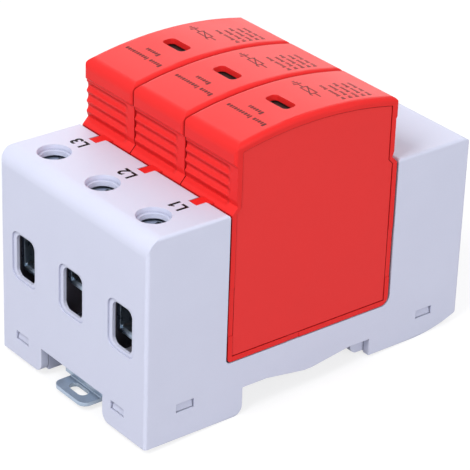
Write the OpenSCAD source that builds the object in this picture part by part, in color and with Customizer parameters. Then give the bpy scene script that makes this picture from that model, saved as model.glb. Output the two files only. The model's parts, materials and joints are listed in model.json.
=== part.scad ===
// Three-pole surge arrester for a 35 mm rail: grey base with three red plug-in modules
// Frame: X along the rail, -Y to the line terminals, +Z away from the rail, origin on the rail seat
// Millimetres

/* [Base] */
// Width of one pole along the rail
pitch = 18; // [17.6:0.1:19]
// Length across the rail
base_l = 88; // [86:0.5:94]
// Height of the shoulders above the rail seat
shoulder_h = 42.8; // [42:0.2:46]
// Top of the well floor above the rail seat
floor_z = 7.2; // [7:0.1:8.4]
// Depth of the front legs below the rail seat
leg_drop = 6.6; // [6.2:0.1:7.4]
// Depth of the rear leg below the rail seat
rear_drop = 4.2; // [4:0.1:5]
// Wall thickness of the housing
wall = 1.8; // [1.5:0.1:2]
// Radius of the front top edge
front_r = 4; // [2:0.5:5]
// Radius of the rear top edge
rear_r = 2.2; // [1:0.2:4]
// Radius of the upright edges
edge_r = 0.8; // [0.4:0.1:1.5]
// Radius of the shoulders beside the modules
lip_r = 0.8; // [0.4:0.1:1.2]
// Radius of the long top edges
side_r = 0.7; // [0.3:0.1:1.2]
// Radius of the curve under the rear leg
sweep_r = 34; // [30:1:40]
// Gap between snapped or nested fixed pieces
fit_gap = 0.15; // [0.1:0.05:0.25]
// Gap between pieces that move past each other
run_gap = 0.3; // [0.2:0.05:0.4]

/* [Rail slot] */
// Width of the rail
rail_w = 35; // [34.5:0.1:35.5]
// Thickness of the rail's flanges
rail_t = 1; // [0.9:0.1:1.5]
// Play of the rail in its slot, at the clip side
rail_play = 0.7; // [0.4:0.1:1]
// Length of the keel that dips into the rail
keel_l = 23.4; // [20:0.2:24.5]
// Depth of that keel
keel_d = 1.6; // [1:0.1:2]
// Reach of the fixed hook behind the rail
hook_reach = 3.8; // [3:0.2:4]
// Thickness of the fixed hook
hook_t = 2.4; // [2:0.1:2.5]
// Radius of the hook's nose
hook_r = 2; // [1:0.1:2.2]
// Distance of the hook's two lugs from the middle
hook_x = 10; // [6:0.5:14]
// Radius of the front legs' inner edge
leg_r = 2.2; // [1:0.2:3]
// Thickness of the base plate
plate_t = 1.8; // [1.4:0.1:2]
// Height of the base plate's sole above the wall's lower edge
sole_lift = 0.3; // [0.2:0.1:0.6]

/* [Snap windows] */
// Width of a snap window
snap_w = 4.7; // [4:0.1:5.4]
// Height of a snap window
snap_h = 2.1; // [1.8:0.1:2.4]
// Height of the windows in the front legs, to their middle
snap_front_z = -1.3; // [-1.8:0.1:-1]
// Offset of the front snap windows from the poles' middles
snap_front_x = -1; // [-1.5:0.1:0]
// Height of the front windows in the sides
snap_side_z = 0.9; // [0.4:0.1:1.4]
// Height of the rear windows in the sides
snap_rear_z = 1.7; // [1.2:0.1:2]
// Distance of the side windows from the middle
snap_y = 33.6; // [32:0.2:35]

/* [Terminals] */
// Radius of the screwdriver hole
hole_r = 3.1; // [2.8:0.1:3.2]
// Radius of the sunk ring round that hole
sink_r = 3.8; // [3.5:0.1:4.2]
// Depth of the sunk ring
sink_d = 1.2; // [0.8:0.05:1.4]
// Distance of the screws from the end face
screw_in = 8; // [7.6:0.1:8.6]
// Depth of the screw head below the shoulder
screw_depth = 2.6; // [2.4:0.1:3]
// Radius of the screw head
head_r = 3.6; // [3.4:0.1:3.9]
// Height of the screw head
head_h = 2.8; // [2.6:0.1:3.2]
// Radius of the screw's thread
thread_r = 2.5; // [2:0.1:2.8]
// Travel of the clamp cage
clamp_travel = 9.3; // [8.4:0.1:9.6]
// Width of the clamp cage
cage_w = 10.4; // [10:0.1:10.8]
// Length of the clamp cage
cage_l = 10.4; // [9.6:0.1:10.8]
// Thickness of the cage's sheet
cage_t = 1.2; // [1:0.1:1.4]
// Width of the wire window
window_w = 7; // [6.4:0.2:7.4]
// Height of the wire window
window_h = 10.5; // [10:0.1:10.8]
// Corner radius of the wire window
window_r = 1.8; // [1:0.1:2]
// Width of the sunk frame round the window
frame_w = 1.2; // [0.6:0.1:1.4]
// Depth of that frame
frame_d = 0.4; // [0.2:0.1:0.6]
// Width of the frame above and below the wire window
frame_h = 0.6; // [0.4:0.1:1]
// Thickness of the end wall in front of a clamp
front_wall = 1.2; // [1:0.1:1.6]
// Width of the contact strips
strip_w = 7.4; // [6.6:0.1:7.6]
// Thickness of the contact strips
strip_t = 2.1; // [1.8:0.1:2.2]
// Lift of each line clamp above its lowest place, then of the earth clamp
clamp_lift = [2.9, 6.2, 1.6, 3.6]; // [0:0.1:8]

/* [Rail clip] */
// Width of the notch between the front legs
notch_w = 23.2; // [22:0.2:24]
// Top of the notch below the rail seat
notch_drop = 0.4; // [0.2:0.1:0.6]
// Thickness of the clip's sheet
clip_t = 0.9; // [0.8:0.1:1]
// Width of the clip
clip_w = 15.4; // [14:0.2:16]
// Width of the clip's pull tab
tab_w = 11.6; // [10:0.2:12]
// Length of the pull tab
tab_l = 4.8; // [4.5:0.1:5.4]
// How far the pull tab stands out in front
tab_out = 1; // [0.6:0.1:2]
// Corner radius of the pull tab
tab_r = 2; // [1:0.1:2.4]
// Length of the eye in the tab
eye_l = 5.6; // [4.8:0.1:6]
// Width of the eye
eye_w = 2.6; // [2.2:0.1:2.8]
// Radius inside the bends of the clip and of the contact strips
bend_r = 0.5; // [0.3:0.1:0.7]
// Reach of the clip behind the rail
clip_reach = 2.4; // [1.8:0.1:2.8]
// Travel of the clip
clip_travel = 4.2; // [3.8:0.1:4.4]
// Outer radius of the clip's spring
spring_r = 1.4; // [1.2:0.1:1.5]
// Wire diameter of that spring
spring_d = 0.45; // [0.35:0.05:0.5]
// Number of turns of that spring
spring_n = 7; // [5:1:8]

/* [Modules] */
// Length of a module across the rail
module_l = 45; // [44.6:0.1:45.4]
// Gap between neighbouring modules
module_gap = 0.25; // [0.2:0.05:0.4]
// Gap between a module and the well's end walls
well_gap = 0.45; // [0.3:0.05:0.6]
// Height of the crown above the rail seat
crown_h = 60.4; // [59.5:0.1:63]
// Radius of the crown's arc
crown_r = 95; // [85:1:110]
// Radius of the crown's long edges
crown_edge_r = 1.2; // [0.6:0.1:1.4]
// Radius of the crown's ends
crown_end_r = 2.7; // [1.6:0.1:3]
// How far the grip lies in from the module's end
grip_in = 1.1; // [0.9:0.05:1.4]
// How far the lip above the grip lies in from the module's end
lip_in = 0.4; // [0.3:0.1:0.7]
// Radius of the lip's upright edges
lip_edge_r = 0.8; // [0.4:0.1:1.1]
// Radius of the module's lower front corner
toe_r = 1; // [0.6:0.1:1.6]
// Radius of the module's lower rear corner
heel_r = 2; // [1:0.1:2.4]
// Height of the slope between the body and the grip
neck_h = 1.6; // [1.2:0.1:2]
// Height of the grip
grip_h = 9; // [8.6:0.1:9.6]
// Height of the slope between the grip and the lip
brow_h = 0.7; // [0.4:0.1:1]
// Depth of the grip's grooves
groove_d = 0.4; // [0.3:0.02:0.5]
// Radius of the grooves
groove_r = 1.5; // [1.3:0.1:1.7]
// Number of round grooves above the one at the slope
groove_n = 3; // [2:1:3]
// Distance from groove to groove
groove_p = 2.45; // [2.2:0.05:2.5]
// Height of the lowest round groove above the slope
groove_low = 2.6; // [2.4:0.05:2.8]
// Plain margin between the grooves and the cover's rim
groove_end = 2.4; // [1.8:0.1:3]
// Thickness of the module's skin
skin = 1.6; // [1.4:0.1:1.8]
// Width of the rim round the side cover
rim = 1.2; // [1:0.1:1.5]
// Width of that rim under the crown
crown_rim = 1.9; // [1.6:0.1:2.2]
// Width of the ledge that the cover lies on
ledge = 0.9; // [0.6:0.1:1]
// Thickness of the side cover
cover_t = 1.3; // [1.1:0.1:1.5]
// How far the cover lies below the rim
cover_sink = 0.15; // [0.1:0.05:0.4]
// Width of the key tab
key_w = 2.6; // [2:0.1:3]
// Length of the key tab
key_l = 3.5; // [2.8:0.1:3.8]
// Thickness of the key tab
key_t = 1.2; // [1:0.1:1.3]
// Length of the indicator slot
slot_l = 7.2; // [6:0.1:7.4]
// Width of the indicator slot
slot_w = 3.3; // [2.6:0.1:3.5]
// Corner radius of the slot
slot_r = 1.1; // [0.6:0.1:1.3]
// Thickness of the crown round the slot
slot_skin = 1.1; // [0.9:0.1:1.4]
// Distance of the slot from the middle, towards the front
slot_y = 4.1; // [3.6:0.1:4.4]
// Distance of the slot from the middle, towards the cover
slot_x = 0.6; // [0:0.1:0.8]

/* [Module works] */
// Side of the square varistor
varistor_s = 32.8; // [31:0.2:33]
// Thickness of the varistor
varistor_t = 9.4; // [8.4:0.2:9.6]
// Distance of the plug blades from the middle
blade_y = 17; // [16.8:0.1:17.4]
// Width of a plug blade
blade_w = 6; // [5:0.1:6.4]
// Thickness of a plug blade
blade_t = 1; // [0.8:0.1:1.2]
// Thickness of the socket's springs
leaf_t = 0.8; // [0.6:0.1:1]
// How far a spring leans to the blade
leaf_lean = 0.4; // [0.2:0.1:0.6]
// Thickness of the disconnect arm
arm_t = 0.5; // [0.4:0.1:0.6]
// Thickness of the indicator flag
flag_t = 1.6; // [1.2:0.1:1.8]
// Travel of the indicator flag
flag_travel = 5.5; // [5:0.1:6]

/* [Hidden] */
$fn = 64;
big = 200;
nib = 0.01;

poles = 3;
pole_x = [pitch, 0, -pitch];
half_w = poles * pitch / 2;
half_l = base_l / 2;
well_y = module_l / 2 + well_gap;
slot_front = -rail_w / 2 - rail_play;
slot_rear = rail_w / 2 + fit_gap;
sweep_run = 14;
sweep_y = half_l - sweep_run;

// Heights of the terminal, from the shoulder down
head_top = shoulder_h - screw_depth;
head_z = head_top - head_h;
cage_top = head_z - run_gap - clamp_travel;
tongue_top = cage_top - cage_t - run_gap;
tongue_z = tongue_top - strip_t;
window_top = tongue_z - fit_gap;
window_z = window_top - window_h;
screw_y = half_l - screw_in;
shaft_rear = screw_y - cage_l / 2 - run_gap;
shaft_w = cage_w + 2 * run_gap;
chase_w = strip_w + 2 * run_gap;
cellar_up = 2.4;
cellar_z = floor_z + cellar_up;
core_w = pitch - shaft_w - 2 * wall;

// Heights under the well floor
run_z = plate_t + fit_gap;
run_t = 1.2;
leaf_top = floor_z - wall - fit_gap;
leaf_gap = fit_gap;
leaf_flare = 1.2;
waist_z = leaf_top - leaf_flare;
blade_tip = run_z + run_t + run_gap;

// Rail clip
clip_drop = 0.5;
clip_top = -rail_t - clip_drop;
clip_z = clip_top - clip_t;
tab_lift = 0.1;
tab_z = -leg_drop + tab_lift;
tab_y = -half_l - tab_out;
riser_y = tab_y + tab_l;
nose_y = -rail_w / 2 + clip_reach;
bay_in = 7.6;
bay_rear = nose_y - bay_in;
post_t = 1.2;
spring_l = clip_travel + 1.6 * spring_n * spring_d;
post_y = bay_rear - spring_l - 2 * fit_gap;
bay_front = post_y - post_t - run_gap;
bay_w = 2 * spring_r + 2 * run_gap;
guide_t = 1.6;
guide_lip = 1.2;
guide_front = riser_y + clip_t + run_gap;

// Module
module_w = pitch - module_gap;
seat_gap = 0.2;
module_z = floor_z + seat_gap;
neck_drop = 0.4;
neck_z = shoulder_h - neck_drop;
grip_z = neck_z + neck_h;
brow_z = grip_z + grip_h;
lip_z = brow_z + brow_h;
half_m = module_l / 2;
crown_c = crown_h - crown_r;
grip_y = half_m - grip_in;
groove_y = grip_y - groove_d + groove_r;
groove_half = sqrt(2 * groove_r * groove_d - groove_d * groove_d);
groove_x = module_w / 2 - groove_end - groove_half;
inner_x = -module_w / 2 + skin;
cover_x = module_w / 2 - cover_sink - cover_t;
varistor_x = inner_x + fit_gap;
varistor_face = varistor_x + varistor_t;
varistor_z = module_z + rim + ledge + fit_gap;
blade_face = varistor_face + blade_t;
flag_x = blade_face + arm_t + 2 * run_gap;
roof_z = crown_h - crown_rim - ledge;
flag_l = 6;
flag_front = -slot_y - flag_l / 2;
pocket_front = flag_front - run_gap;
pocket_rear = flag_front + flag_l + flag_travel + run_gap;
pocket_z = crown_c + sqrt(pow(crown_r, 2) - pow(pocket_front, 2)) - slot_skin;
flag_top = pocket_z - run_gap;
flag_side = 0.4;

plate_x = half_w - wall - fit_gap;
sole_z = -leg_drop + sole_lift;
rear_sole_z = -rear_drop + sole_lift;
guide_x = clip_w / 2 + fit_gap;
guide_lip_t = 1;
guide_z = clip_z - fit_gap - guide_lip_t;
ear_gap = 0.25;
ear_z = tab_z + clip_t + ear_gap;
eye_in = 1.7;
strip_y = well_y + wall + fit_gap;
socket_in = blade_t / 2 + leaf_gap;
socket_out = socket_in + leaf_t;
cage_bottom = window_z - cage_t;
cage_lead = 0.5;
key_drop = 0.1;
key_z = shoulder_h - key_drop - key_t;
key_flare = 1.2;
grip_rim = 1.2;
neck_rim = grip_in + grip_rim;
crown_end_z = crown_c
    + sqrt(pow(crown_r - crown_end_r, 2) - pow(half_m - lip_in - crown_end_r, 2));
crown_tan_y = (half_m - lip_in - crown_end_r) * crown_r / (crown_r - crown_end_r);
tab_h = 4;
tab_reach = 8;
arm_up = 6;
arm_z = varistor_z + arm_up;
line_tab_up = 12;
line_tab_z = arm_z + line_tab_up;
tip_h = 1.2;
tip_in = 0.8;
varistor_r = 2;
bar_in = 1.4;
tip_c = 0.6;
screw_gap = 0.1;
screw_tip = tongue_top + screw_gap;
// Shallow steps in the rim of a module, where the halves of its mould met
seam_d = 0.12;
seam_front = [13.8, 25.2];
seam_rear = [14.3, 26.3];
seam_under = [-6.3, -2.9];

housing_grey = "#d4d7e6";
plate_grey = "#c9ccdb";
module_red = "#f03c3a";
cover_red = "#dc3638";
steel = "#a9b4c2";
copper = "#c98a5a";
dark = "#2a2422";

// A profile drawn in (Y, Z) and drawn out along X
module along_x(x, w) translate([x, 0, 0]) rotate([90, 0, 90]) linear_extrude(w) children();
// A profile drawn in (X, Z) and drawn out along Y
module along_y(y, l) translate([0, y + l, 0]) rotate([90, 0, 0]) linear_extrude(l) children();
// A profile drawn in (X, Y) and drawn out along Z
module along_z(z, h) translate([0, 0, z]) linear_extrude(h) children();
// A rectangle between two corners
module area(a, b) translate(a) square(b - a);
// A box between two corners
module block(a, b) translate(a) cube(b - a);
// What a rounded corner takes off, turned so that 0 has the stuff to the right and above
module nick(p, r, turn) translate(p) rotate(turn) difference() {
    translate([-1, -1]) square(r + 1);
    translate([r, r]) circle(r);
}
// What a round inner corner fills, turned so that 0 has the stuff to the left and below
module fillet(p, r, turn) translate(p) rotate(turn) difference() {
    translate([-nib, -nib]) square(r + nib);
    translate([r, r]) circle(r);
}
// A rectangle with four equal round corners, centred
module pad(w, h, r) {
    square([w - 2 * r, h], center = true);
    square([w, h - 2 * r], center = true);
    for (x = [-1, 1], y = [-1, 1]) translate([x * (w / 2 - r), y * (h / 2 - r)]) circle(r);
}
// Everything below and behind the curve under the rear leg, at a given inset
module under_sweep(e) difference() {
    area([sweep_y, -big], [big, -rear_drop + sweep_r]);
    translate([sweep_y, -rear_drop + sweep_r]) circle(sweep_r - e, $fn = 180);
}

// Side view of the housing: two blocks, the floor between them and the legs beside the rail
module housing_outline() {
    difference() {
        area([-half_l, -leg_drop], [half_l, shoulder_h]);
        area([-well_y, floor_z], [well_y, big]);
        area([slot_front, -big], [slot_rear, 0]);
        area([slot_rear - nib, -big], [big, -rear_drop]);
        under_sweep(0);
        nick([-half_l, shoulder_h], front_r, 270);
        nick([half_l, shoulder_h], rear_r, 180);
        nick([-well_y, shoulder_h], lip_r, 180);
        nick([well_y, shoulder_h], lip_r, 270);
        nick([slot_front, -leg_drop], leg_r, 90);
    }
    fillet([-well_y, floor_z], toe_r + seat_gap, 0);
    fillet([well_y, floor_z], heel_r + seat_gap, 90);
    polygon([[-keel_l / 2, nib], [-1, -keel_d], [1, -keel_d], [keel_l / 2, nib]]);
}

// One front terminal's hollows: shaft of the clamp cage and chase of the contact strip
module terminal_hollow() {
    block([-shaft_w / 2, -half_l + front_wall, cellar_z - nib],
        [shaft_w / 2, -shaft_rear, shoulder_h - wall]);
    block([-chase_w / 2, -shaft_rear - nib, -big], [chase_w / 2, -well_y - wall, tongue_top + run_gap]);
}
// The wire window and its sunk frame
module wire_window() translate([0, 0, window_z + window_h / 2]) {
    along_y(-half_l - 1, front_wall + 1 + nib) pad(window_w, window_h, window_r);
    along_y(-half_l - 1, 1 + frame_d)
        pad(window_w + 2 * frame_w, window_h + 2 * frame_h, window_r + frame_h / 2);
}
// The screwdriver hole, its sunk ring and the collar that keeps the screw in
module screw_hole() translate([0, -screw_y, 0]) {
    translate([0, 0, shoulder_h - sink_d]) cylinder(r = sink_r, h = big);
    translate([0, 0, head_top]) cylinder(r = hole_r, h = big);
}
module screw_collar() translate([0, -screw_y, head_top + run_gap]) difference() {
    cylinder(r = shaft_w / 2 - run_gap, h = shoulder_h - wall - head_top - run_gap + nib);
    translate([0, 0, -1]) cylinder(r = hole_r, h = big);
}
// Plan of the key tab, with its flared root
module key_plan(g) polygon([
    [-key_w / 2 - g, -half_m + 1], [-key_w / 2 - g, -half_m - key_l - g],
    [key_w / 2 + g, -half_m - key_l - g], [key_w / 2 + g, -half_m - key_flare],
    [key_w / 2 + key_flare + g, -half_m + g], [key_w / 2 + key_flare + g, -half_m + 1]
]);
// The notch between the front legs
module notch_outline() {
    area([-notch_w / 2, -big], [notch_w / 2, -notch_drop]);
    nick([notch_w / 2, -leg_drop], leg_r, 0);
    nick([-notch_w / 2, -leg_drop], leg_r, 90);
}

module base_housing() color(housing_grey) {
    difference() {
        intersection() {
            along_x(-half_w, 2 * half_w) housing_outline();
            along_z(-big, 2 * big) pad(2 * half_w, base_l, edge_r);
            along_y(-big, 2 * big) difference() {
                area([-half_w, -big], [half_w, shoulder_h]);
                nick([-half_w, shoulder_h], side_r, 270);
                nick([half_w, shoulder_h], side_r, 180);
            }
        }
        // The hollow under the blocks and the floor
        for (s = [0, 180]) rotate(s)
            block([-half_w + wall, -half_l + wall, -big], [half_w - wall, -well_y - wall, cellar_z]);
        block([-half_w + wall, -half_l + wall, -big], [half_w - wall, half_l - wall, floor_z - wall]);
        // Front terminals, key notches and the cores between them
        for (x = pole_x) translate([x, 0, 0]) {
            terminal_hollow();
            wire_window();
            screw_hole();
            along_z(key_z - fit_gap, big) key_plan(fit_gap);
        }
        for (x = [-pitch / 2, pitch / 2])
            block([x - core_w / 2, -half_l + wall, -big],
                [x + core_w / 2, -well_y - wall, shoulder_h - 2 * wall]);
        // Rear block: earth terminal in the middle, hollow at both sides
        rotate(180) {
            terminal_hollow();
            wire_window();
            screw_hole();
        }
        for (s = [0, 1]) mirror([s, 0, 0])
            block([shaft_w / 2 + wall, well_y + wall, -big],
                [half_w - wall, half_l - wall, shoulder_h - wall]);
        // Slots for the plug blades
        for (x = pole_x, s = [-1, 1]) translate([x, s * blade_y, 0])
            along_z(floor_z - wall - 1, wall + 2)
                square([blade_w + 2 * run_gap, blade_t + 2 * run_gap], center = true);
        // Notch for the rail clip and windows for the base plate's snap noses
        along_y(-half_l - 1, wall + 2) notch_outline();
        for (x = [-pitch, pitch]) along_y(-half_l - 1, wall + 2)
            translate([x + snap_front_x, snap_front_z]) square([snap_w, snap_h], center = true);
        along_x(-half_w - 1, 2 * half_w + 2) {
            translate([-snap_y, snap_side_z]) square([snap_w, snap_h], center = true);
            translate([snap_y, snap_rear_z]) square([snap_w, snap_h], center = true);
        }
    }
    for (x = pole_x) translate([x, 0, 0]) screw_collar();
    rotate(180) screw_collar();
}

// Roof of the rail slot, with the keel that dips into the rail
module roof_outline() difference() {
    roof_area(plate_t);
    roof_area(0);
}
module roof_area(z) difference() {
    area([slot_front - plate_t, z - 3 * plate_t], [slot_rear + plate_t, z]);
    polygon(both([[keel_l / 2, z + big], [keel_l / 2, z], [1, z - keel_d]]));
}
module front_sole() difference() {
    area([-half_l + wall + fit_gap, sole_z], [slot_front, plate_t]);
    area([-big, sole_z + plate_t], [slot_front - plate_t, big]);
    nick([slot_front, sole_z], leg_r, 90);
}
module rear_sole() difference() {
    area([slot_rear, rear_sole_z], [half_l - wall - fit_gap, plate_t]);
    difference() {
        area([slot_rear + plate_t, rear_sole_z + plate_t], [big, big]);
        under_sweep(sole_lift + plate_t);
    }
    under_sweep(sole_lift);
}
// Hook behind the rail's rear flange
module hook_outline() difference() {
    area([slot_rear - hook_reach, -rail_t - run_gap - hook_t], [slot_rear + plate_t / 2, -rail_t - run_gap]);
    nick([slot_rear - hook_reach, -rail_t - run_gap - hook_t], hook_r, 0);
}
// A snap arm that stands on the sole, with its nose in a window at height z; drawn for the side -Y
module snap(z, foot) along_x(-snap_w / 2 + fit_gap, snap_w - 2 * fit_gap) {
    area([0, foot], [plate_t, z + snap_h / 2 + 0.4]);
    polygon([
        [nib, z - snap_h / 2 + fit_gap], [nib, z + snap_h / 2 - fit_gap],
        [-wall + 0.6, z + snap_h / 2 - fit_gap], [-wall + 0.2, z - snap_h / 2 + fit_gap]
    ]);
}

module base_plate() color(plate_grey) {
    along_x(-plate_x, 2 * plate_x) {
        roof_outline();
        rear_sole();
    }
    for (s = [0, 1]) mirror([s, 0, 0]) {
        along_x(notch_w / 2, plate_x - notch_w / 2) front_sole();
        along_x(hook_x, plate_x - hook_x) hook_outline();
        // Side of the clip's channel
        block([notch_w / 2, -half_l + wall + fit_gap, sole_z],
            [notch_w / 2 + plate_t, slot_front, plate_t - notch_drop]);
        // Guide that the clip slides in: web, lip and pad
        block([guide_x, guide_front, guide_z], [guide_x + guide_t, slot_front - plate_t, -notch_drop + nib]);
        block([guide_x - guide_lip, guide_front, guide_z],
            [guide_x + nib, slot_front - plate_t, clip_z - fit_gap]);
        block([guide_x - guide_lip, guide_front, clip_top + fit_gap],
            [guide_x + nib, slot_front - plate_t, -notch_drop + nib]);
        // Snap arms at the sides
        translate([plate_x, -snap_y, 0]) rotate(90) snap(snap_side_z, sole_z);
        translate([plate_x, snap_y, 0]) rotate(90) snap(snap_rear_z, rear_sole_z + 0.6);
    }
    // Snap arms at the front
    for (x = [-pitch, pitch]) translate([x + snap_front_x, -half_l + wall + fit_gap, 0])
        snap(snap_front_z, sole_z);
    // Roof of the clip's channel and the post that the spring pushes on
    block([-notch_w / 2 - nib, -half_l + wall + fit_gap, -notch_drop],
        [notch_w / 2 + nib, slot_front, plate_t - notch_drop]);
    block([-spring_r, post_y - post_t, clip_z - 0.6], [spring_r, post_y, -notch_drop + nib]);
}

module rail_clip() color(steel) difference() {
    union() {
        // Strip behind the rail and the upper part of the riser, with its ears
        along_x(-clip_w / 2, clip_w) difference() {
            union() {
                area([riser_y, ear_z], [riser_y + clip_t, clip_top]);
                area([riser_y, clip_z], [nose_y, clip_top]);
                fillet([riser_y + clip_t, clip_z], bend_r, 270);
            }
            nick([riser_y, clip_top], bend_r + clip_t, 270);
            // Bevel that lets the nose ride over the rail's edge
            polygon([[nose_y - clip_t, clip_z - nib], [nose_y + nib, clip_z + clip_t / 2],
                [nose_y + nib, clip_z - nib]]);
        }
        // Lower part of the riser
        along_x(-tab_w / 2, tab_w) difference() {
            union() {
                area([riser_y, tab_z], [riser_y + clip_t, clip_z]);
                fillet([riser_y, tab_z + clip_t], bend_r / 2, 90);
            }
            nick([riser_y + clip_t, tab_z], clip_t, 90);
        }
        // Pull tab
        along_z(tab_z, clip_t) difference() {
            area([-tab_w / 2, tab_y], [tab_w / 2, riser_y + nib]);
            nick([-tab_w / 2, tab_y], tab_r, 0);
            nick([tab_w / 2, tab_y], tab_r, 90);
        }
    }
    along_z(tab_z - 1, clip_t + 2) translate([0, tab_y + eye_in + eye_w / 2])
        pad(eye_l, eye_w, eye_w / 2 - 0.1);
    // Bay for the spring
    block([-bay_w / 2, bay_front, clip_z - 1], [bay_w / 2, bay_rear, clip_top + 1]);
}

// A coil of round wire along +Y
function coil_ring(a, y, r, d, m) =
    [for (j = [0 : m - 1]) let (b = 360 * j / m, q = r + d / 2 * cos(b))
        [q * cos(a), y + d / 2 * sin(b), q * sin(a)]];
module coil(r, d, l, n) {
    m = 8;
    k = 14 * n;
    points = [for (i = [0 : k]) each coil_ring(360 * n * i / k, d / 2 + (l - d) * i / k, r - d / 2, d, m)];
    sides = [for (i = [0 : k - 1], j = [0 : m - 1]) let (a = i * m + j, b = i * m + (j + 1) % m)
        [a, b, b + m, a + m]];
    polyhedron(points, concat(sides, [[for (j = [m - 1 : -1 : 0]) j], [for (j = [0 : m - 1]) k * m + j]]));
}
module clip_spring() color(steel)
    translate([0, post_y + fit_gap, (clip_z + clip_top) / 2]) coil(spring_r, spring_d, spring_l, spring_n);

// Socket for a plug blade at the front: run along the base plate and two springs, which lean in to the
// blade and flare out again above
module socket_outline() {
    area([-strip_y - strip_t, run_z], [-blade_y + socket_out + leaf_lean, run_z + run_t]);
    translate([-blade_y, 0]) difference() {
        polygon(both([[socket_out + leaf_lean, run_z + run_t / 2], [socket_out, waist_z],
            [socket_out + leaf_lean, leaf_top]]));
        polygon(both([[socket_in + leaf_lean, run_z], [socket_in, waist_z],
            [socket_in + leaf_lean, leaf_top + nib]]));
    }
}
// The strip from the clamp down to the socket
module contact_outline() {
    difference() {
        union() {
            area([-screw_y - cage_l / 2 + run_gap, tongue_z], [-strip_y, tongue_top]);
            area([-strip_y - strip_t, run_z], [-strip_y, tongue_top]);
            fillet([-strip_y - strip_t, tongue_z], bend_r, 180);
            fillet([-strip_y, run_z + run_t], bend_r, 0);
            socket_outline();
        }
        nick([-strip_y, tongue_top], bend_r + strip_t, 180);
        nick([-strip_y - strip_t, run_z], bend_r + run_t, 0);
    }
}
module line_contact(k) color(copper) along_x(pole_x[k] - strip_w / 2, strip_w) contact_outline();
module earth_bar() color(copper) rotate(180) {
    along_x(-strip_w / 2, strip_w) contact_outline();
    for (x = [-pitch, pitch]) along_x(x - strip_w / 2, strip_w) socket_outline();
    along_x(-pitch - strip_w / 2, 2 * pitch + strip_w)
        area([-strip_y - strip_t, run_z + nib], [-strip_y, cellar_z - bar_in]);
}

// A clamp cage and its screw, at the front of the pole at x = 0
module clamp_cage(lift) color(steel) translate([0, -screw_y, lift]) difference() {
    along_y(-cage_l / 2, cage_l) difference() {
        translate([0, (cage_bottom + cage_top) / 2]) pad(cage_w, cage_top - cage_bottom, cage_t);
        translate([0, (window_z + cage_top - cage_t) / 2])
            pad(cage_w - 2 * cage_t, cage_top - cage_t - window_z, cage_t / 3);
    }
    translate([0, 0, cage_top - 2 * cage_t]) cylinder(r = thread_r + 0.1, h = 4 * cage_t);
    // Lead-in for the wire at the front edge of the floor
    along_x(-cage_w / 2 + cage_t, cage_w - 2 * cage_t) polygon([
        [-cage_l / 2 - 1, window_z - cage_lead - 1], [-cage_l / 2 - 1, window_z + 1],
        [-cage_l / 2 + cage_lead + 1, window_z + 1]
    ]);
}
module clamp_screw() color(steel) translate([0, -screw_y, 0]) difference() {
    rotate_extrude() difference() {
        union() {
            area([0, screw_tip], [thread_r, head_z + nib]);
            area([0, head_z], [head_r, head_top]);
        }
        nick([head_r, head_top], head_h / 5, 180);
        polygon([[thread_r - tip_c, screw_tip - nib], [thread_r + nib, screw_tip + tip_c],
            [thread_r + nib, screw_tip - nib]]);
    }
    // Slot and cross in one recess
    for (a = [0, 90]) rotate(a + 20)
        block([-head_r * 0.7, -0.5, head_top - head_h / 2], [head_r * 0.7, 0.5, head_top + 1]);
}
module line_cage(k) translate([pole_x[k], 0, 0]) clamp_cage(clamp_lift[k]);
module line_screw(k) translate([pole_x[k], 0, 0]) clamp_screw();
module earth_cage() rotate(180) clamp_cage(clamp_lift[poles]);
module earth_screw() rotate(180) clamp_screw();

// Both sides of a mirrored outline, from the right-hand half
function both(p) = concat(p, [for (i = [len(p) - 1 : -1 : 0]) [-p[i].x, p[i].y]]);

// Side view of a module: body, sloped neck, grip and lip, with round lower and upper corners
module module_outline() difference() {
    polygon(both([
        [half_m, module_z], [half_m, neck_z], [grip_y - groove_d, grip_z],
        [grip_y, grip_z + groove_low / 2], [grip_y, brow_z],
        [half_m - lip_in, lip_z], [half_m - lip_in, crown_h]
    ]));
    nick([-half_m, module_z], toe_r, 0);
    nick([half_m, module_z], heel_r, 90);
    for (s = [0, 1]) mirror([s, 0]) difference() {
        area([crown_tan_y, crown_end_z], [half_m, crown_h + 1]);
        translate([half_m - lip_in - crown_end_r, crown_end_z]) circle(crown_end_r);
    }
}
// Outline of the cover, its seat and the hollow behind it, at given insets
module cover_outline(side, neck, top) intersection() {
    polygon(both([
        [half_m - side, module_z + side], [half_m - side, neck_z],
        [half_m - neck, neck_z + neck_h * 0.7], [half_m - neck, crown_h]
    ]));
    translate([0, crown_c]) circle(crown_r - top, $fn = 360);
}
// The drum that the crown is cut from, with round rims
module crown_drum() translate([0, 0, crown_c]) rotate([0, 90, 0]) rotate_extrude($fn = 360) difference() {
    area([0, -module_w / 2], [crown_r, module_w / 2]);
    nick([crown_r, -module_w / 2], crown_edge_r, 90);
    nick([crown_r, module_w / 2], crown_edge_r, 180);
}

// A rod with a round nose at +X, which cuts one groove of the grip
module groove_rod() rotate([0, -90, 0]) rotate_extrude($fn = 48) {
    area([0, 0], [groove_r, 2 * module_w]);
    intersection() {
        circle(groove_r, $fn = 48);
        area([0, -2 * groove_r], [2 * groove_r, nib]);
    }
}
// The shallow steps in the rim, in side view
module seam_area() {
    area([-half_m - 1, seam_front[0]], [-half_m + rim + nib, seam_front[1]]);
    area([half_m - rim - nib, seam_rear[0]], [half_m + 1, seam_rear[1]]);
    area([seam_under[0], module_z - 1], [seam_under[1], module_z + rim + nib]);
}

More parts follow.
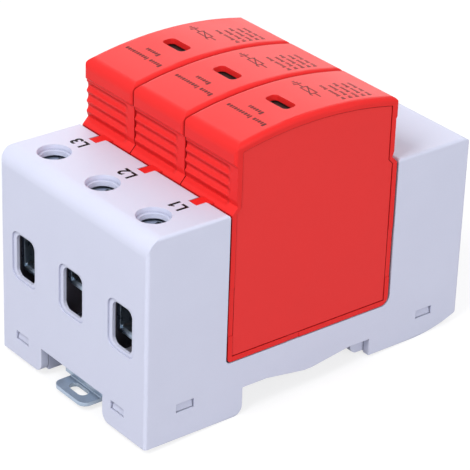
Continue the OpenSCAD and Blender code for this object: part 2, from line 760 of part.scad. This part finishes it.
module module_shell(k) color(module_red) translate([pole_x[k], 0, 0]) {
    difference() {
        intersection() {
            along_x(-module_w / 2, module_w) module_outline();
            crown_drum();
            union() {
                along_z(grip_z, big) pad(module_w, 2 * (half_m - lip_in), lip_edge_r);
                block([-module_w, -half_m - 1, -big], [module_w, half_m + 1, grip_z + nib]);
            }
        }
        // Grooves of the grip, front and rear
        for (y = [-groove_y, groove_y], i = [0 : groove_n - 1])
            translate([groove_x, y, grip_z + groove_low + i * groove_p]) groove_rod();
        along_x(inner_x, big) cover_outline(rim + ledge, neck_rim + skin, crown_rim + ledge);
        along_x(cover_x, big) cover_outline(rim, neck_rim, crown_rim);
        along_x(module_w / 2 - seam_d, big) seam_area();
        // Indicator slot, and the pocket behind it that the flag runs in
        along_z(roof_z - 1, big) translate([slot_x, -slot_y]) pad(slot_l, slot_w, slot_r);
        block([slot_x - slot_l / 2 - flag_side - run_gap, pocket_front, roof_z - 1],
            [flag_x + flag_t + run_gap, pocket_rear, pocket_z]);
        for (s = [-1, 1]) translate([0, s * blade_y, 0]) along_z(module_z - 1, rim + ledge + 2)
            square([blade_w + 2 * fit_gap, blade_t + 2 * fit_gap], center = true);
    }
    along_z(key_z, key_t) key_plan(0);
}
module module_cover(k) color(cover_red) translate([pole_x[k], 0, 0]) along_x(cover_x, cover_t)
    cover_outline(rim + fit_gap, neck_rim + fit_gap, crown_rim + fit_gap);

module varistor(k) color("#3a5a8c") translate([pole_x[k], 0, 0]) along_x(varistor_x, varistor_t)
    translate([0, varistor_z + varistor_s / 2]) pad(varistor_s, varistor_s, varistor_r);
// A plug blade with the tab that is soldered to the varistor, drawn for the front
module blade(tab_low) {
    // Blade with a bevelled tip
    intersection() {
        along_y(-blade_y - blade_t / 2, blade_t) polygon(both([
            [blade_w / 2 - tip_in, blade_tip], [blade_w / 2, blade_tip + tip_in],
            [blade_w / 2, tab_low + tab_h]
        ]));
        along_x(-blade_w, 2 * blade_w) translate([-blade_y, 0]) polygon(both([
            [blade_t / 4, blade_tip], [blade_t / 2, blade_tip + tip_h], [blade_t / 2, tab_low + tab_h]
        ]));
    }
    // Tab bent round along the varistor's face
    along_z(tab_low, tab_h) difference() {
        union() {
            area([varistor_face - blade_t, -blade_y - blade_t / 2], [blade_face, -blade_y + blade_t / 2]);
            area([varistor_face, -blade_y - blade_t / 2], [blade_face, -blade_y + tab_reach]);
        }
        nick([blade_face, -blade_y - blade_t / 2], blade_t, 90);
    }
}
module line_blade(k) color(copper) translate([pole_x[k], 0, 0]) blade(line_tab_z);
module earth_blade(k) color(copper) translate([pole_x[k], 0, 0]) mirror([0, 1, 0]) blade(arm_z);
// The arm that springs off when the solder under its end melts
module disconnect_arm(k) color(copper) translate([pole_x[k], 0, 0]) {
    along_x(blade_face, arm_t) translate([(blade_y - tab_h) / 2, arm_z + tab_h / 2])
        pad(blade_y + tab_h, tab_h, tab_h / 2 - 0.2);
    translate([varistor_face, -tab_h / 2, arm_z + tab_h / 2]) rotate([0, 90, 0])
        cylinder(r = tab_h / 2 - 0.2, h = blade_t + nib);
}
module indicator_flag(k) color(dark) translate([pole_x[k], 0, 0]) along_y(flag_front, flag_l) {
    area([flag_x, arm_z + tab_h + run_gap], [flag_x + flag_t, flag_top]);
    area([slot_x - slot_l / 2 - flag_side, flag_top - flag_t], [flag_x + nib, flag_top]);
}

base_housing();
base_plate();
rail_clip();
clip_spring();
earth_bar();
earth_cage();
earth_screw();
line_contact(0);  // line_contact_1
line_contact(1);  // line_contact_2
line_contact(2);  // line_contact_3
line_cage(0);  // line_cage_1
line_cage(1);  // line_cage_2
line_cage(2);  // line_cage_3
line_screw(0);  // line_screw_1
line_screw(1);  // line_screw_2
line_screw(2);  // line_screw_3
module_shell(0);  // module_shell_1
module_shell(1);  // module_shell_2
module_shell(2);  // module_shell_3
module_cover(0);  // module_cover_1
module_cover(1);  // module_cover_2
module_cover(2);  // module_cover_3
varistor(0);  // varistor_1
varistor(1);  // varistor_2
varistor(2);  // varistor_3
line_blade(0);  // line_blade_1
line_blade(1);  // line_blade_2
line_blade(2);  // line_blade_3
earth_blade(0);  // earth_blade_1
earth_blade(1);  // earth_blade_2
earth_blade(2);  // earth_blade_3
disconnect_arm(0);  // disconnect_arm_1
disconnect_arm(1);  // disconnect_arm_2
disconnect_arm(2);  // disconnect_arm_3
indicator_flag(0);  // indicator_flag_1
indicator_flag(1);  // indicator_flag_2
indicator_flag(2);  // indicator_flag_3
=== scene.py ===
import json
import math

import bpy
from mathutils import Matrix, Vector


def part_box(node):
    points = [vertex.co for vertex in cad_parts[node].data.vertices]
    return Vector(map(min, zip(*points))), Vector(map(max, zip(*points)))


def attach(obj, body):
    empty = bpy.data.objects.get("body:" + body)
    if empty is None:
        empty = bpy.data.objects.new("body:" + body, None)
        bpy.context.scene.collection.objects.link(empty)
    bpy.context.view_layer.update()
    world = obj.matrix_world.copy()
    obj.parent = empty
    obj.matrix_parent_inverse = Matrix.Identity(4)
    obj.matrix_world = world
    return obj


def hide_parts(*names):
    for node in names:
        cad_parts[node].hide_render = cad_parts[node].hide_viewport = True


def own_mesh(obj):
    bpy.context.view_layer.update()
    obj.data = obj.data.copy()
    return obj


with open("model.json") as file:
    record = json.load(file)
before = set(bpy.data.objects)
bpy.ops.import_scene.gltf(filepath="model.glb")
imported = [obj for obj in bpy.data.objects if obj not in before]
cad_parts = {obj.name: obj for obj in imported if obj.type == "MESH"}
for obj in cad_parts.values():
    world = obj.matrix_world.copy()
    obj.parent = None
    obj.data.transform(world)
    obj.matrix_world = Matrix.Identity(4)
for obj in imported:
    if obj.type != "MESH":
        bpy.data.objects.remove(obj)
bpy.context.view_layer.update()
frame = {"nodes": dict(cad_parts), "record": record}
nodes = frame["nodes"]

MM = 0.001
POLES = (1, 2, 3)
pole_x = {k: (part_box(f"module_shell_{k}")[0][0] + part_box(f"module_shell_{k}")[1][0]) / 2
          for k in POLES}
POLE_PITCH = abs(pole_x[1] - pole_x[2])
# Height of the base's shoulder, and the top and the radius of a module's crown
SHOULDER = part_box("base_housing")[1][2]
CROWN_TOP, CROWN_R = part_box("module_shell_1")[1][2], 95 * MM


# ---- Finishes ----

class Shade:
    """A socket of a material's nodes. Arithmetic on it adds Math nodes, node() adds any other."""

    def __init__(self, tree, socket):
        self.tree, self.socket = tree, socket

    def node(self, kind, settings, inputs, out=0):
        """A new node, from its kind, its settings, and the values or links of its sockets."""
        made = self.tree.nodes.new("ShaderNode" + kind)
        for name, value in settings.items():
            setattr(made, name, value)
        for name, value in inputs.items():
            if isinstance(value, Shade):
                self.tree.links.new(value.socket, made.inputs[name])
            else:
                made.inputs[name].default_value = value
        return Shade(self.tree, made.outputs[out] if made.outputs else None)

    def math(self, operation, a, b=0.0):
        return self.node("Math", {"operation": operation}, {0: a, 1: b})

    def __add__(self, other):
        return self.math("ADD", self, other)

    def __sub__(self, other):
        return self.math("SUBTRACT", self, other)

    def __rsub__(self, other):
        return self.math("SUBTRACT", other, self)

    def __mul__(self, other):
        return self.math("MULTIPLY", self, other)

    def __abs__(self):
        return self.math("ABSOLUTE", self)

    __radd__ = __add__
    __rmul__ = __mul__

    def clamp(self, low, high):
        return self.math("MINIMUM", self.math("MAXIMUM", self, low), high)

    def mix(self, low, high):
        """A colour between two, by this value. Sockets 6, 7 and 2 are the node's colour ones."""
        return self.node("Mix", {"data_type": "RGBA"}, {0: self, 6: low, 7: high}, out=2)

    def parts(self):
        """The x, y and z of a place."""
        split = self.node("SeparateXYZ", {}, {0: self}).socket.node
        return [Shade(self.tree, socket) for socket in split.outputs]

    def ramp(self, start, end, smooth=False):
        """0 on the start's side and 1 on the end's, whichever of the two is the lower."""
        if end < start:
            return 1.0 - self.ramp(end, start, smooth)
        kind = "SMOOTHSTEP" if smooth else "LINEAR"
        return self.node("MapRange", {"interpolation_type": kind}, {0: self, 1: start, 2: end})

    def noise(self, scale, detail):
        """Noise over this place."""
        return self.node("TexNoise", {}, {"Vector": self, "Scale": scale, "Detail": detail})

    def bump(self, depth, strength, normal):
        """A normal, bent as this height says."""
        return self.node("Bump", {}, {"Strength": strength, "Distance": depth,
                                      "Height": self, "Normal": normal})


def linear(code):
    """The linear colour of a six-figure colour code."""
    values = [int(code[i:i + 2], 16) / 255 for i in (0, 2, 4)]
    return tuple(v / 12.92 if v < 0.04045 else ((v + 0.055) / 1.055) ** 2.4
                 for v in values) + (1.0,)


def new_finish(name):
    """A material, its shader and the Object coordinates that its patterns read."""
    made = bpy.data.materials.new(name)
    made.use_nodes = True
    tree = made.node_tree
    shader = tree.nodes["Principled BSDF"]
    place = tree.nodes.new("ShaderNodeTexCoord").outputs["Object"]
    return made, shader, Shade(tree, place)


def feed(shader, **sockets):
    """Links values to the shader, or sets what is the same all over."""
    for name, value in sockets.items():
        socket = shader.inputs[name.replace("_", " ")]
        if isinstance(value, Shade):
            value.tree.links.new(value.socket, socket)
        else:
            socket.default_value = value


# Rays of the nodes that look around a point, and how open a place is where its painted shade is
# deepest
RAYS, SHUT = 6, 0.3


def soft_edges(place, radius):
    """Normals that round off sharp edges."""
    return place.node("Bevel", {"samples": RAYS}, {"Radius": radius})


def with_painted_shade(place, colour, painted_shade_tone, reach, clear):
    """A colour with painted shade: darker where other faces stand within reach, up to a clear
    openness.
    """
    open_sky = place.node("AmbientOcclusion", {"samples": RAYS}, {"Distance": reach}, out=1)
    return open_sky.ramp(SHUT, clear).mix(linear(painted_shade_tone), colour)


# Moulded plastic: scale and detail of its three noises, their shares in tone and roughness,
# the depth of the grain, and how far a seam's painted shade reaches and where it ends
CLOUD, SPECK, FINE = (90.0, 3.0), (2600.0, 1.0), (5200.0, 2.0)
CLOUD_TONE, SPECK_TONE = 0.7, 0.3
CLOUD_ROUGH, FINE_ROUGH = 0.12, 0.06
GRAIN_DEPTH, SEAM_SHADE_REACH, SEAM_SHADE_CLEAR = 0.02 * MM, 0.8 * MM, 0.85


def moulded(name, light, dark, painted_shade_tone, rough, grain, edge, shine=0.5, relief=None, recess_shade=None):
    """Moulded plastic: slow cloudiness, painted shade in narrow seams, fine spark-eroded grain,
    softened edges, and any relief or painted shade in recesses of its own."""
    made, shader, place = new_finish(name)
    cloud, speck, fine = (place.noise(*pattern) for pattern in (CLOUD, SPECK, FINE))
    normal = soft_edges(place, edge)
    if relief:
        normal = relief(place, normal)
    tone = cloud * CLOUD_TONE + speck * SPECK_TONE
    # Painted shade darkens the colour in narrow seams
    colour = with_painted_shade(place, tone.mix(linear(dark), linear(light)), painted_shade_tone, SEAM_SHADE_REACH, SEAM_SHADE_CLEAR)
    # Painted shade inside recesses, such as the wire chambers
    if recess_shade:
        mask, inner_shade = recess_shade(place)
        colour = mask.mix(colour, inner_shade)
    feed(shader, Base_Color=colour, Specular_IOR_Level=shine,
         Roughness=rough + CLOUD_ROUGH * (cloud - 0.5) + FINE_ROUGH * (fine - 0.5),
         Normal=fine.bump(GRAIN_DEPTH, grain, normal))
    return made


# The grip of a module, as in the CAD: its plane, its lowest round groove, and the grooves' pitch
# and number
GRIP_Y, GROOVE_Z, GROOVE_PITCH, GROOVES = 21.4 * MM, 46.6 * MM, 2.45 * MM, 3
# The shade in them: its depth, its end towards +X and the half length over which it fades there,
# and how far behind the grip's plane it starts and is full
GROOVE_SHADE, GROOVE_END, GROOVE_FADE = 0.45 * MM, 5.6 * MM, 0.6 * MM
SHADE_START, SHADE_FULL = 0.9 * MM, 0.6 * MM


def grip_grooves(place, normal):
    """Deepens the grooves that the grip's solid has, by a wave that ends with them. One more
    groove, at the slope, lies below the lowest round one."""
    x, y, z = place.parts()
    lower_crest = GROOVE_Z - 1.5 * GROOVE_PITCH
    upper_crest = GROOVE_Z + (GROOVES - 0.5) * GROOVE_PITCH
    turn = (z.clamp(lower_crest, upper_crest) - GROOVE_Z) * (2 * math.pi / GROOVE_PITCH)
    wave = 0.5 - 0.5 * turn.math("COSINE", turn)
    across = x - POLE_PITCH * x.math("ROUND", x * (1 / POLE_PITCH))
    inside = across.ramp(GROOVE_END + GROOVE_FADE, GROOVE_END - GROOVE_FADE, True)
    near = abs(y).ramp(GRIP_Y - SHADE_START, GRIP_Y - SHADE_FULL)
    height = 1.0 - (1.0 - wave) * inside * near
    return height.bump(GROOVE_SHADE, 1.0, normal)


# The housing's wire chambers at both ends, whose insides are painted darker as shade: their bounds
# along X and Y from the middle and along Z, as (axis, where the shade starts, where it is full), in
# mm
CHAMBER_BOUNDS = [("x", 26.3, 26.0), ("y", 24.4, 24.6), ("y", 42.9, 42.5), ("z", 7.0, 7.5),
                  ("z", 31.0, 29.0)]
# The painted shade inside the wire chambers
CHAMBER_SHADE = "6E6A75"


def wire_chamber_shade(place):
    """Where the housing's wire chambers are, behind their windows, and the painted shade of their
    insides.
    """
    x, y, z = place.parts()
    along = {"x": abs(x), "y": abs(y), "z": z}
    mask = math.prod(along[axis].ramp(start * MM, full * MM)
                     for axis, start, full in CHAMBER_BOUNDS)
    return mask, linear(CHAMBER_SHADE)


# Sheet metal: scale and detail of its two noises, their shares in tone and roughness, the depth
# and strength of the lines, the edges' radius, and how far a corner's painted shade reaches and
# where it ends
LINES, MOTTLE = (1.0, 3.0), (420.0, 4.0)
LINES_TONE, MOTTLE_TONE = 0.4, 0.6
LINES_ROUGH, MOTTLE_ROUGH = 0.1, 0.22
LINES_DEPTH, LINES_STRENGTH, SHEET_EDGE = 0.01 * MM, 0.25, 0.12 * MM
CORNER_SHADE_REACH, CORNER_SHADE_CLEAR = 3 * MM, 0.75


def plated(name, light, dark, painted_shade_tone, rough, along, metal=1.0):
    """Bright metal: fine lines along the axes of lower scale over a slow mottle, with painted
    shade in its corners."""
    made, shader, place = new_finish(name)
    lines = place.node("Mapping", {}, {"Vector": place, "Scale": along}).noise(*LINES)
    mottle = place.noise(*MOTTLE)
    tone = mottle * MOTTLE_TONE + lines * LINES_TONE
    colour = tone.mix(linear(dark), linear(light))
    feed(shader, Base_Color=with_painted_shade(place, colour, painted_shade_tone, CORNER_SHADE_REACH, CORNER_SHADE_CLEAR),
         Roughness=rough + MOTTLE_ROUGH * (mottle - 0.5) + LINES_ROUGH * (lines - 0.5),
         Normal=lines.bump(LINES_DEPTH, LINES_STRENGTH, soft_edges(place, SHEET_EDGE)),
         Metallic=metal)
    return made


# Scales of the lines that rolling, turning and stamping leave
ROLLED, TURNED, STAMPED = (3000.0, 260.0, 3000.0), (2600.0, 2600.0, 300.0), (2600.0, 300.0, 300.0)

# The fourth colour of each finish is its painted shade in seams and corners
finishes = {
    "housing": moulded("housing_grey", "D6D9EC", "CED1E5", "A3A6BA", rough=0.5, grain=0.35,
                       edge=0.12 * MM, shine=0.15, recess_shade=wire_chamber_shade),
    "plate": moulded("plate_grey", "CDD0E4", "C3C6DA", "9A9DB1", rough=0.5, grain=0.35,
                     edge=0.12 * MM, shine=0.15),
    "module": moulded("module_red", "E92B2A", "E12726", "A30F10", rough=0.46, grain=0.3,
                      edge=0.08 * MM, shine=0.19, relief=grip_grooves),
    "cover": moulded("cover_red", "EA3534", "E23130", "A81819", rough=0.58, grain=0.6,
                     edge=0.12 * MM, shine=0.25),
    "zinc": plated("zinc", "C9D7E7", "9AACC2", "2C3744", rough=0.34, along=ROLLED, metal=0.55),
    "cage": plated("cage_steel", "CBD9E6", "97A9BB", "7F91A3", rough=0.3, along=ROLLED),
    "screw": plated("screw_steel", "C3CCD8", "949FAD", "7C8795", rough=0.34, along=TURNED),
    "copper": plated("copper_alloy", "D79A6C", "B4713F", "8C5328", rough=0.34, along=STAMPED),
    "ceramic": moulded("dipped_coating", "3A5C90", "2E4C7C", "23395E", rough=0.3, grain=0.2,
                       edge=0.4 * MM),
    "flag": moulded("flag_dark", "2A2422", "1F1A18", "120F0E", rough=0.5, grain=0.3,
                    edge=0.1 * MM),
}


def dress(mesh, finish):
    mesh.materials.clear()
    mesh.materials.append(finish)


# Each CAD piece has the finish of its slot, but the screws and cages have their own
for part in frame["record"]["subparts"]:
    kind = part["node"].split("_")[1]
    finish = finishes[kind if kind in ("screw", "cage") else part["material_slot"]]
    dress(nodes[part["node"]].data, finish)

# Printed ink: detail of its wear, and the lowest roughness and how much wear adds to it
WEAR_DETAIL, INK_ROUGH, WEAR_ROUGH = 3.0, 0.5, 0.2


def ink(name, worn_tone, full_tone, wear_scale, shine):
    """Printed ink, more and less worn."""
    made, shader, place = new_finish(name)
    wear = place.noise(wear_scale, WEAR_DETAIL)
    feed(shader, Base_Color=wear.mix(linear(worn_tone), linear(full_tone)),
         Roughness=INK_ROUGH + WEAR_ROUGH * wear, Specular_IOR_Level=shine)
    return made


ink_black = ink("ink_black", "100F12", "060507", wear_scale=1800.0, shine=0.1)
ink_brown = ink("ink_brown", "7E2A28", "4E1816", wear_scale=2400.0, shine=0.12)


# ---- Ways of working on a piece ----

def select(*pieces):
    """Selects these pieces and nothing else, with the first of them active."""
    bpy.ops.object.select_all(action="DESELECT")
    for piece in pieces:
        piece.select_set(True)
    bpy.context.view_layer.objects.active = pieces[0] if pieces else None


def active():
    return bpy.context.view_layer.objects.active


def open_mesh():
    """Starts work on the active piece's mesh, with all of it selected."""
    bpy.ops.object.mode_set(mode="EDIT")
    bpy.ops.mesh.select_all(action="SELECT")


def close_mesh():
    bpy.ops.object.mode_set(mode="OBJECT")


def face_outwards():
    bpy.ops.mesh.select_all(action="SELECT")
    bpy.ops.mesh.normals_make_consistent(inside=False)


def named(piece, name):
    piece.name = piece.data.name = name
    return piece


def join(pieces):
    """Makes one piece of several."""
    select(*pieces)
    if len(pieces) > 1:
        bpy.ops.object.join()
    return active()


def settle(piece, finish, body):
    """Puts a finished piece's place into its mesh, and ties it to its body."""
    select(piece)
    bpy.ops.object.transform_apply(location=True, rotation=True, scale=True)
    dress(piece.data, finish)
    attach(piece, body)


# ---- Print ----

# Half the thickness of the ink, and a stroke's rounding as a share of its lesser side
INK, STROKE_ROUND = 0.012 * MM, 0.3


def ink_stroke(length, height, turn=0.0):
    """A flat stroke of ink with rounded corners, lying at the origin."""
    select()
    bpy.ops.mesh.primitive_plane_add(size=1)
    stroke = active()
    open_mesh()
    bpy.ops.transform.resize(value=(length, height, 1))
    bpy.ops.mesh.bevel(offset=min(length, height) * STROKE_ROUND, segments=2, affect="VERTICES")
    bpy.ops.mesh.extrude_region_move(TRANSFORM_OT_translate={"value": (0, 0, 2 * INK)})
    face_outwards()
    close_mesh()
    stroke.rotation_euler = (0, 0, turn)
    bpy.ops.object.transform_apply(location=False, rotation=True, scale=False)
    return stroke


# The marks at the line screws: how far along Y each stands and how far aside of its pole, the size
# and spacing of the characters, and by how much they are bolder than the font
MARK_Y, MARK_ASIDE = {1: -29.2 * MM, 2: -29.1 * MM, 3: -28.8 * MM}, 0.7 * MM
MARK_SIZE, MARK_SPACING, MARK_BOLD = 4.1 * MM, 1.12, 0.13 * MM
# The beak of the figure 1: its stroke, its turn, and its middle from the top of the stem
BEAK_LENGTH, BEAK_HEIGHT, BEAK_TURN = 1.25 * MM, 0.4 * MM, math.radians(40)
BEAK_X, BEAK_Y = 0.78 * MM, 0.52 * MM
# Points of a mark that lie closer than this become one
MARK_MERGE = 1e-6


def terminal_mark(words, x, y):
    """A printed mark beside a screw hole, which reads from the modules' side."""
    select()
    bpy.ops.object.text_add(location=(x, y, SHOULDER + INK / 2), rotation=(0, 0, math.pi))
    mark = active()
    mark.data.body, mark.data.size = words, MARK_SIZE
    mark.data.align_x, mark.data.align_y = "CENTER", "CENTER"
    mark.data.space_character = MARK_SPACING
    mark.data.offset, mark.data.extrude = MARK_BOLD, INK
    bpy.ops.object.convert(target="MESH")
    open_mesh()
    bpy.ops.mesh.remove_doubles(threshold=MARK_MERGE)
    close_mesh()
    strokes = [mark]
    if words.endswith("1"):
        # The mark is turned round, so the top of the last stem is at its lowest x and y
        spots = [mark.matrix_world @ point.co for point in mark.data.vertices]
        low_x, low_y = min(spot.x for spot in spots), min(spot.y for spot in spots)
        beak = ink_stroke(BEAK_LENGTH, BEAK_HEIGHT, BEAK_TURN)
        beak.location = (low_x + BEAK_X, low_y + BEAK_Y, SHOULDER - INK / 2)
        strokes.append(beak)
    return named(join(strokes), f"mark_{words}")


for k in POLES:
    settle(terminal_mark(f"L{k}", pole_x[k] - MARK_ASIDE, MARK_Y[k]), ink_black, "base")

# The earth sign beside the rear screw: its place along Y, and its stem and three bars as
# (y from there, length, height), in mm
EARTH_SIGN_Y = 29.2
EARTH_SIGN = [(0.95, 0.3, 1.3), (0.3, 2.6, 0.32), (-0.4, 1.7, 0.32), (-1.1, 0.8, 0.32)]


def earth_sign():
    strokes = []
    for y, length, height in EARTH_SIGN:
        stroke = ink_stroke(length * MM, height * MM)
        stroke.location = (0, (EARTH_SIGN_Y + y) * MM, SHOULDER - INK / 2)
        strokes.append(stroke)
    return named(join(strokes), "mark_earth")


settle(earth_sign(), ink_black, "base")

# Rows of small blocks on a module's crown, as (first x, y, size, blocks in each group), in mm;
# x runs down along a row
BLOCK_ROWS = [(6.5, -12.3, 1.12, (5, 10)), (2.3, -9.6, 1.12, (6,)),
              (6.6, 8.8, 0.85, (2, 6, 4)), (6.6, 10.7, 0.85, (2, 4, 5)),
              (6.6, 12.5, 0.85, (4, 5, 3)), (6.6, 14.3, 0.85, (2, 5, 4)),
              (6.6, 16.0, 0.85, (3, 3, 5))]
# Shares of a row's size: the blocks' widths in turn, the height of a group's first block and of
# the others, and the gaps after a block and after a group
BLOCK_WIDTHS = (0.62, 0.5, 0.58, 0.42, 0.6, 0.36, 0.55)
FIRST_HEIGHT, BLOCK_HEIGHT, BLOCK_GAP, GROUP_GAP = 1.15, 0.8, 0.2, 0.55
# The sign of a varistor to earth: its middle, and its strokes as (x, y, length, height, turn in
# degrees), in mm
SIGN_X, SIGN_Y = -0.7, 4.6
VARISTOR_SIGN = [(2.9, 0, 2.1, 0.3, 0), (0, 0.75, 4.0, 0.3, 0), (0, -0.75, 4.0, 0.3, 0),
                 (1.85, 0, 0.3, 1.7, 0), (-1.85, 0, 0.3, 1.7, 0), (0, 0, 4.4, 0.28, -32),
                 (2.3, -1.17, 0.9, 0.28, 0), (-2.85, 0, 1.9, 0.3, 0), (-3.8, 0, 0.32, 2.2, 0),
                 (-4.5, 0, 0.32, 1.4, 0), (-5.2, 0, 0.32, 0.7, 0)]


def lay_on_crown(stroke, x, y):
    """Puts a stroke on a module's crown, turned with its slope."""
    stroke.location = (x, y, CROWN_TOP - CROWN_R + math.sqrt(CROWN_R ** 2 - y ** 2) - INK / 2)
    stroke.rotation_euler = (-math.asin(y / CROWN_R), 0, 0)
    return stroke


def module_print():
    """The ink on a module at the middle of the width: rows of blocks, and the sign of its kind."""
    strokes = []
    for x, y, size, groups in BLOCK_ROWS:
        count = 0
        for blocks in groups:
            for i in range(blocks):
                width = BLOCK_WIDTHS[count % len(BLOCK_WIDTHS)] * size
                height = (BLOCK_HEIGHT if i else FIRST_HEIGHT) * size
                block = ink_stroke(width * MM, height * MM)
                strokes.append(lay_on_crown(block, (x - width / 2) * MM, (y - height / 2) * MM))
                x, count = x - width - BLOCK_GAP * size, count + 1
            x -= GROUP_GAP * size
    for x, y, length, height, turn in VARISTOR_SIGN:
        stroke = ink_stroke(length * MM, height * MM, math.radians(turn))
        strokes.append(lay_on_crown(stroke, (SIGN_X + x) * MM, (SIGN_Y + y) * MM))
    return join(strokes)


def copied(piece):
    """A copy of a piece, with a mesh of its own."""
    copy = piece.copy()
    copy.data = piece.data.copy()
    bpy.context.collection.objects.link(copy)
    return copy


prints = [module_print()]
prints += [copied(prints[0]) for _ in POLES[1:]]
for k, piece in zip(POLES, prints):
    piece.location.x += pole_x[k]
    settle(named(piece, f"module_print_{k}"), ink_brown, f"module_{k}")


# ---- Clip spring ----

# Its round wire, how finely the wire and its turns are divided and smoothed, and how close points
# lie that become one
WIRE, WIRE_SIDES = 0.45 * MM, 12
SPRING_TURNS, TURN_STEPS, SMOOTH = 7, 24, math.radians(50)
WIRE_MERGE = 1e-7


def wind_spring():
    """A coil along Y in the place of the CAD spring, from a round of wire that a screw winds up."""
    low, high = (Vector(corner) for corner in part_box("clip_spring"))
    length, radius = high.y - low.y, (high.x - low.x) / 2
    select()
    bpy.ops.mesh.primitive_circle_add(vertices=WIRE_SIDES, radius=WIRE / 2)
    spring = named(active(), "wound_spring")
    open_mesh()
    bpy.ops.transform.translate(value=(radius - WIRE / 2, 0, 0))
    close_mesh()
    bpy.ops.object.modifier_add(type="SCREW")
    screw = spring.modifiers[-1]
    screw.axis, screw.steps, screw.render_steps = "Y", TURN_STEPS, TURN_STEPS
    screw.iterations, screw.screw_offset = SPRING_TURNS, (length - WIRE) / SPRING_TURNS
    bpy.ops.object.modifier_apply(modifier=screw.name)
    open_mesh()
    bpy.ops.mesh.remove_doubles(threshold=WIRE_MERGE)
    bpy.ops.mesh.fill_holes(sides=0)
    face_outwards()
    close_mesh()
    bpy.ops.object.shade_smooth_by_angle(angle=SMOOTH)
    spring.location = ((low.x + high.x) / 2, low.y + WIRE / 2, (low.z + high.z) / 2)
    settle(spring, finishes["zinc"], "base")
    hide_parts("clip_spring")
    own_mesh(spring)


wind_spring()


# ---- Floor, light and camera ----

# The part rests on the rear edge of its front legs and on its rear leg
REST_FRONT = Vector((0, -20.4 * MM, -6.65 * MM))
REST_REAR = Vector((0, 30.6 * MM, -4.25 * MM))
FLOOR_SIZE = 6
WHITE = (1, 1, 1, 1)
# The floor's colour as a surface near the part, and its colour and glow where it is the background
FLOOR_MATT, FLOOR_PALE, FLOOR_GLOW = (0.38, 0.38, 0.39, 1), (0.28, 0.28, 0.285, 1), 0.76
# Colour and strength of the surroundings as light
SKY_TONE, SKY = (0.95, 0.96, 1, 1), 0.36


def background(holder):
    """Empties the nodes of a floor's material or of a world, and gives 1 where a ray shows it as
    the background."""
    holder.use_nodes = True
    tree = holder.node_tree
    tree.nodes.clear()
    rays = tree.nodes.new("ShaderNodeLightPath").outputs
    seen, glossy, through = (Shade(tree, rays[name]) for name in
                             ("Is Camera Ray", "Is Glossy Ray", "Is Transmission Ray"))
    return seen + glossy + through


tilt = math.atan2(REST_REAR.z - REST_FRONT.z, REST_REAR.y - REST_FRONT.y)
select()
bpy.ops.mesh.primitive_plane_add(size=FLOOR_SIZE, location=REST_FRONT, rotation=(tilt, 0, 0))
floor = named(active(), "floor")
pale_floor = bpy.data.materials.new("pale_floor")
shown = background(pale_floor)
matt = shown.node("BsdfDiffuse", {}, {"Color": FLOOR_MATT})
pale = shown.node("BsdfDiffuse", {}, {"Color": FLOOR_PALE})
glow = shown.node("Emission", {}, {"Color": WHITE, "Strength": FLOOR_GLOW})
lit = shown.node("AddShader", {}, {0: pale, 1: glow})
both = shown.node("MixShader", {}, {0: shown, 1: matt, 2: lit})
shown.node("OutputMaterial", {}, {"Surface": both})
dress(floor.data, pale_floor)

world = bpy.data.worlds.new("studio")
bpy.context.scene.world = world
shown = background(world)
white = shown.node("Background", {}, {"Color": WHITE, "Strength": 1.0})
sky = shown.node("Background", {}, {"Color": SKY_TONE, "Strength": SKY})
both = shown.node("MixShader", {}, {0: shown, 1: sky, 2: white})
shown.node("OutputWorld", {}, {"Surface": both})


def put(name, data, place, turn):
    """Puts a lamp or camera into the scene."""
    holder = bpy.data.objects.new(name, data)
    bpy.context.scene.collection.objects.link(holder)
    holder.location, holder.rotation_euler = place, turn
    return holder


# Soft lamps around the part, as (name, place, size, power), and where they point
LAMPS = [("key", (0.06, -0.58, 0.74), 0.45, 5.3), ("front", (0.15, -0.88, 0.2), 0.5, 1.5),
         ("side", (0.75, -0.05, 0.3), 0.5, 3.05), ("back", (-0.7, 0.53, 0.47), 0.9, 4.6)]
MIDDLE = Vector((0, 0, 20 * MM))
for name, place, size, power in LAMPS:
    lamp = bpy.data.lights.new(name, "AREA")
    lamp.energy, lamp.size = power, size
    put(name, lamp, place, (Vector(place) - MIDDLE).to_track_quat("Z", "Y").to_euler())

# The camera: its direction and roll, where it points, how far away it stands, and its lens in mm
AZIMUTH, ELEVATION, ROLL = math.radians(51.07), math.radians(27.71), math.radians(2.03)
TARGET, DISTANCE = Vector((0, 0.00006, 0.01968)), 0.5274
SENSOR, FOCAL_LENGTH = 36, 181.78
NEAREST, FARTHEST = 0.01, 20
lens = bpy.data.cameras.new("photo")
lens.sensor_width, lens.lens = SENSOR, FOCAL_LENGTH
lens.clip_start, lens.clip_end = NEAREST, FARTHEST
level = math.cos(ELEVATION)
away = Vector((math.sin(AZIMUTH) * level, -math.cos(AZIMUTH) * level, math.sin(ELEVATION)))
facing = away.to_track_quat("Z", "Y").to_matrix() @ Matrix.Rotation(ROLL, 3, "Z")
camera = put("photo", lens, TARGET + DISTANCE * away, facing.to_euler())
bpy.context.scene.camera = camera
bpy.context.scene.view_settings.view_transform = "Standard"
